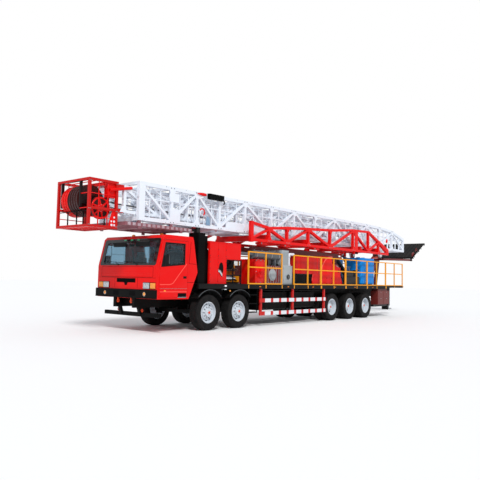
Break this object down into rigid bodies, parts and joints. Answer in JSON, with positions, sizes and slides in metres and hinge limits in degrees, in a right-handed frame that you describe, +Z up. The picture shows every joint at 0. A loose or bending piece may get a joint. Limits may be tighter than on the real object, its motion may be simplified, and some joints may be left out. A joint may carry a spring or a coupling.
{
  "type": "workover rig",
  "caption": "Truck-mounted workover rig with a lattice mast folded forward over the cab, a drawworks, railed decks and twin-tyre rear axles.",
  "frame": {"origin": "on the ground, at the centre of the bounding box's base", "axes": "+X forward, +Y to the left side of the carrier, +Z up"},
  "size_m": [21.2253, 2.75, 4.27],
  "materials": {
    "tyre": "matte",
    "rim": "satin",
    "black_paint": "satin",
    "red_paint": "gloss",
    "dark_red_paint": "satin",
    "glass": "clear",
    "trim": "matte",
    "yellow_paint": "gloss",
    "white_paint": "satin",
    "grey_paint": "satin",
    "blue_paint": "gloss",
    "steel": "satin"
  },
  "bodies": {
    "carrier": {"chassis_frame": "black_paint", "bumper": "black_paint", "cab_shell": "red_paint", "cab_glass": "glass", "cab_interior": "trim", "axle_beams": "black_paint", "deck": "black_paint", "railings": "yellow_paint", "side_guards": "white_paint", "under_tanks": "grey_paint", "engine": "yellow_paint", "engine_cowl": "red_paint", "silencer": "grey_paint", "gearcase": "dark_red_paint", "cabinets": "red_paint", "drawworks_guard": "red_paint", "blue_tanks": "blue_paint", "mast_supports": "dark_red_paint", "rear_boxes": "dark_red_paint"},
    "wheel_fl1": {"tyre_fl1": "tyre", "rim_fl1": "rim"},
    "wheel_fr1": {"tyre_fr1": "tyre", "rim_fr1": "rim"},
    "wheel_fl2": {"tyre_fl2": "tyre", "rim_fl2": "rim"},
    "wheel_fr2": {"tyre_fr2": "tyre", "rim_fr2": "rim"},
    "wheel_rl1": {"tyre_rl1": "tyre", "rim_rl1": "rim"},
    "wheel_rr1": {"tyre_rr1": "tyre", "rim_rr1": "rim"},
    "wheel_rl2": {"tyre_rl2": "tyre", "rim_rl2": "rim"},
    "wheel_rr2": {"tyre_rr2": "tyre", "rim_rr2": "rim"},
    "wheel_rl3": {"tyre_rl3": "tyre", "rim_rl3": "rim"},
    "wheel_rr3": {"tyre_rr3": "tyre", "rim_rr3": "rim"},
    "knuckle_fl1": {"knuckle_fl1": "black_paint"},
    "knuckle_fr1": {"knuckle_fr1": "black_paint"},
    "knuckle_fl2": {"knuckle_fl2": "black_paint"},
    "knuckle_fr2": {"knuckle_fr2": "black_paint"},
    "door_left": {"door_left": "red_paint", "door_glass_left": "glass"},
    "door_right": {"door_right": "red_paint", "door_glass_right": "glass"},
    "jack_left": {"jack_left": "steel"},
    "jack_right": {"jack_right": "steel"},
    "drum": {"drawworks_drum": "dark_red_paint"},
    "mast_lower": {"mast_lower": "white_paint", "side_trusses": "red_paint", "racking_board": "white_paint"},
    "mast_upper": {"mast_upper": "white_paint", "crown_frame": "red_paint"},
    "crown_sheaves": {"crown_sheaves": "dark_red_paint"},
    "rear_floor": {"rear_floor": "black_paint"},
    "cyl_barrels": {"cyl_barrels": "grey_paint"},
    "cyl_stages": {"cyl_stages": "steel"},
    "cyl_rods": {"cyl_rods": "steel"}
  },
  "joints": [
    {"name": "steer_fl1", "type": "hinge", "parent": "carrier", "child": "knuckle_fl1", "pos_m": [6.58, 0.9, 0.545], "axis": [0, 0, 1], "range_deg": [-30, 30]},
    {"name": "steer_fr1", "type": "hinge", "parent": "carrier", "child": "knuckle_fr1", "pos_m": [6.58, -0.9, 0.545], "axis": [0, 0, 1], "range_deg": [-30, 30]},
    {"name": "steer_fl2", "type": "hinge", "parent": "carrier", "child": "knuckle_fl2", "pos_m": [5.163, 0.9, 0.545], "axis": [0, 0, 1], "range_deg": [-22.5, 22.5]},
    {"name": "steer_fr2", "type": "hinge", "parent": "carrier", "child": "knuckle_fr2", "pos_m": [5.163, -0.9, 0.545], "axis": [0, 0, 1], "range_deg": [-22.5, 22.5]},
    {"name": "spin_fl1", "type": "hinge", "parent": "knuckle_fl1", "child": "wheel_fl1", "pos_m": [6.58, 0, 0.545], "axis": [0, 1, 0], "continuous": true},
    {"name": "spin_fr1", "type": "hinge", "parent": "knuckle_fr1", "child": "wheel_fr1", "pos_m": [6.58, 0, 0.545], "axis": [0, 1, 0], "continuous": true},
    {"name": "spin_fl2", "type": "hinge", "parent": "knuckle_fl2", "child": "wheel_fl2", "pos_m": [5.163, 0, 0.545], "axis": [0, 1, 0], "continuous": true},
    {"name": "spin_fr2", "type": "hinge", "parent": "knuckle_fr2", "child": "wheel_fr2", "pos_m": [5.163, 0, 0.545], "axis": [0, 1, 0], "continuous": true},
    {"name": "spin_rl1", "type": "hinge", "parent": "carrier", "child": "wheel_rl1", "pos_m": [-0.676, 0, 0.545], "axis": [0, 1, 0], "continuous": true},
    {"name": "spin_rr1", "type": "hinge", "parent": "carrier", "child": "wheel_rr1", "pos_m": [-0.676, 0, 0.545], "axis": [0, 1, 0], "continuous": true},
    {"name": "spin_rl2", "type": "hinge", "parent": "carrier", "child": "wheel_rl2", "pos_m": [-2.115, 0, 0.545], "axis": [0, 1, 0], "continuous": true},
    {"name": "spin_rr2", "type": "hinge", "parent": "carrier", "child": "wheel_rr2", "pos_m": [-2.115, 0, 0.545], "axis": [0, 1, 0], "continuous": true},
    {"name": "spin_rl3", "type": "hinge", "parent": "carrier", "child": "wheel_rl3", "pos_m": [-3.525, 0, 0.545], "axis": [0, 1, 0], "continuous": true},
    {"name": "spin_rr3", "type": "hinge", "parent": "carrier", "child": "wheel_rr3", "pos_m": [-3.525, 0, 0.545], "axis": [0, 1, 0], "continuous": true},
    {"name": "door_left_hinge", "type": "hinge", "parent": "carrier", "child": "door_left", "pos_m": [8.654, 1.362, 1.45], "axis": [0, 0, -1], "range_deg": [0, 70]},
    {"name": "door_right_hinge", "type": "hinge", "parent": "carrier", "child": "door_right", "pos_m": [8.654, -1.362, 1.45], "axis": [0, 0, 1], "range_deg": [0, 70]},
    {"name": "jack_left_slide", "type": "slide", "parent": "carrier", "child": "jack_left", "axis": [0, 0, -1], "range_m": [0, 0.33]},
    {"name": "jack_right_slide", "type": "slide", "parent": "carrier", "child": "jack_right", "axis": [0, 0, -1], "range_m": [0, 0.33]},
    {"name": "drum_spin", "type": "hinge", "parent": "carrier", "child": "drum", "pos_m": [-1.57, 0, 2.01], "axis": [0, 1, 0], "continuous": true},
    {"name": "mast_raise", "type": "hinge", "parent": "carrier", "child": "mast_lower", "pos_m": [-6.02, 0, 2.9], "axis": [0, -1, 0], "range_deg": [0, 90]},
    {"name": "mast_extend", "type": "slide", "parent": "mast_lower", "child": "mast_upper", "axis": [1, 0, 0], "range_m": [0, 10]},
    {"name": "sheave_spin", "type": "hinge", "parent": "mast_upper", "child": "crown_sheaves", "pos_m": [10.22, 0, 3.62], "axis": [0, 1, 0], "continuous": true},
    {"name": "rear_floor_fold", "type": "hinge", "parent": "carrier", "child": "rear_floor", "pos_m": [-9.07, 0, 2.78], "axis": [0, -1, 0], "range_deg": [0, 28.3]},
    {"name": "cyl_tilt", "type": "hinge", "parent": "carrier", "child": "cyl_barrels", "pos_m": [-5.04, 0, 1.5], "axis": [0, -1, 0], "range_deg": [0, 64.48]},
    {"name": "cyl_stage_slide", "type": "slide", "parent": "cyl_barrels", "child": "cyl_stages", "axis": [0.7894, 0, 0.6139], "range_m": [0, 1.027]},
    {"name": "cyl_rod_slide", "type": "slide", "parent": "cyl_stages", "child": "cyl_rods", "axis": [0.7894, 0, 0.6139], "range_m": [0, 1.027]}
  ],
  "couplings": [
    {"joint": "steer_fr1", "follows": "steer_fl1", "ratio": 1},
    {"joint": "steer_fl2", "follows": "steer_fl1", "ratio": 0.75},
    {"joint": "steer_fr2", "follows": "steer_fl1", "ratio": 0.75},
    {"joint": "cyl_tilt", "follows": "mast_raise", "ratio": 0.71094},
    {"joint": "cyl_stage_slide", "follows": "mast_raise", "m_per_rad": 0.64774},
    {"joint": "cyl_rod_slide", "follows": "mast_raise", "m_per_rad": 0.64774}
  ]
}
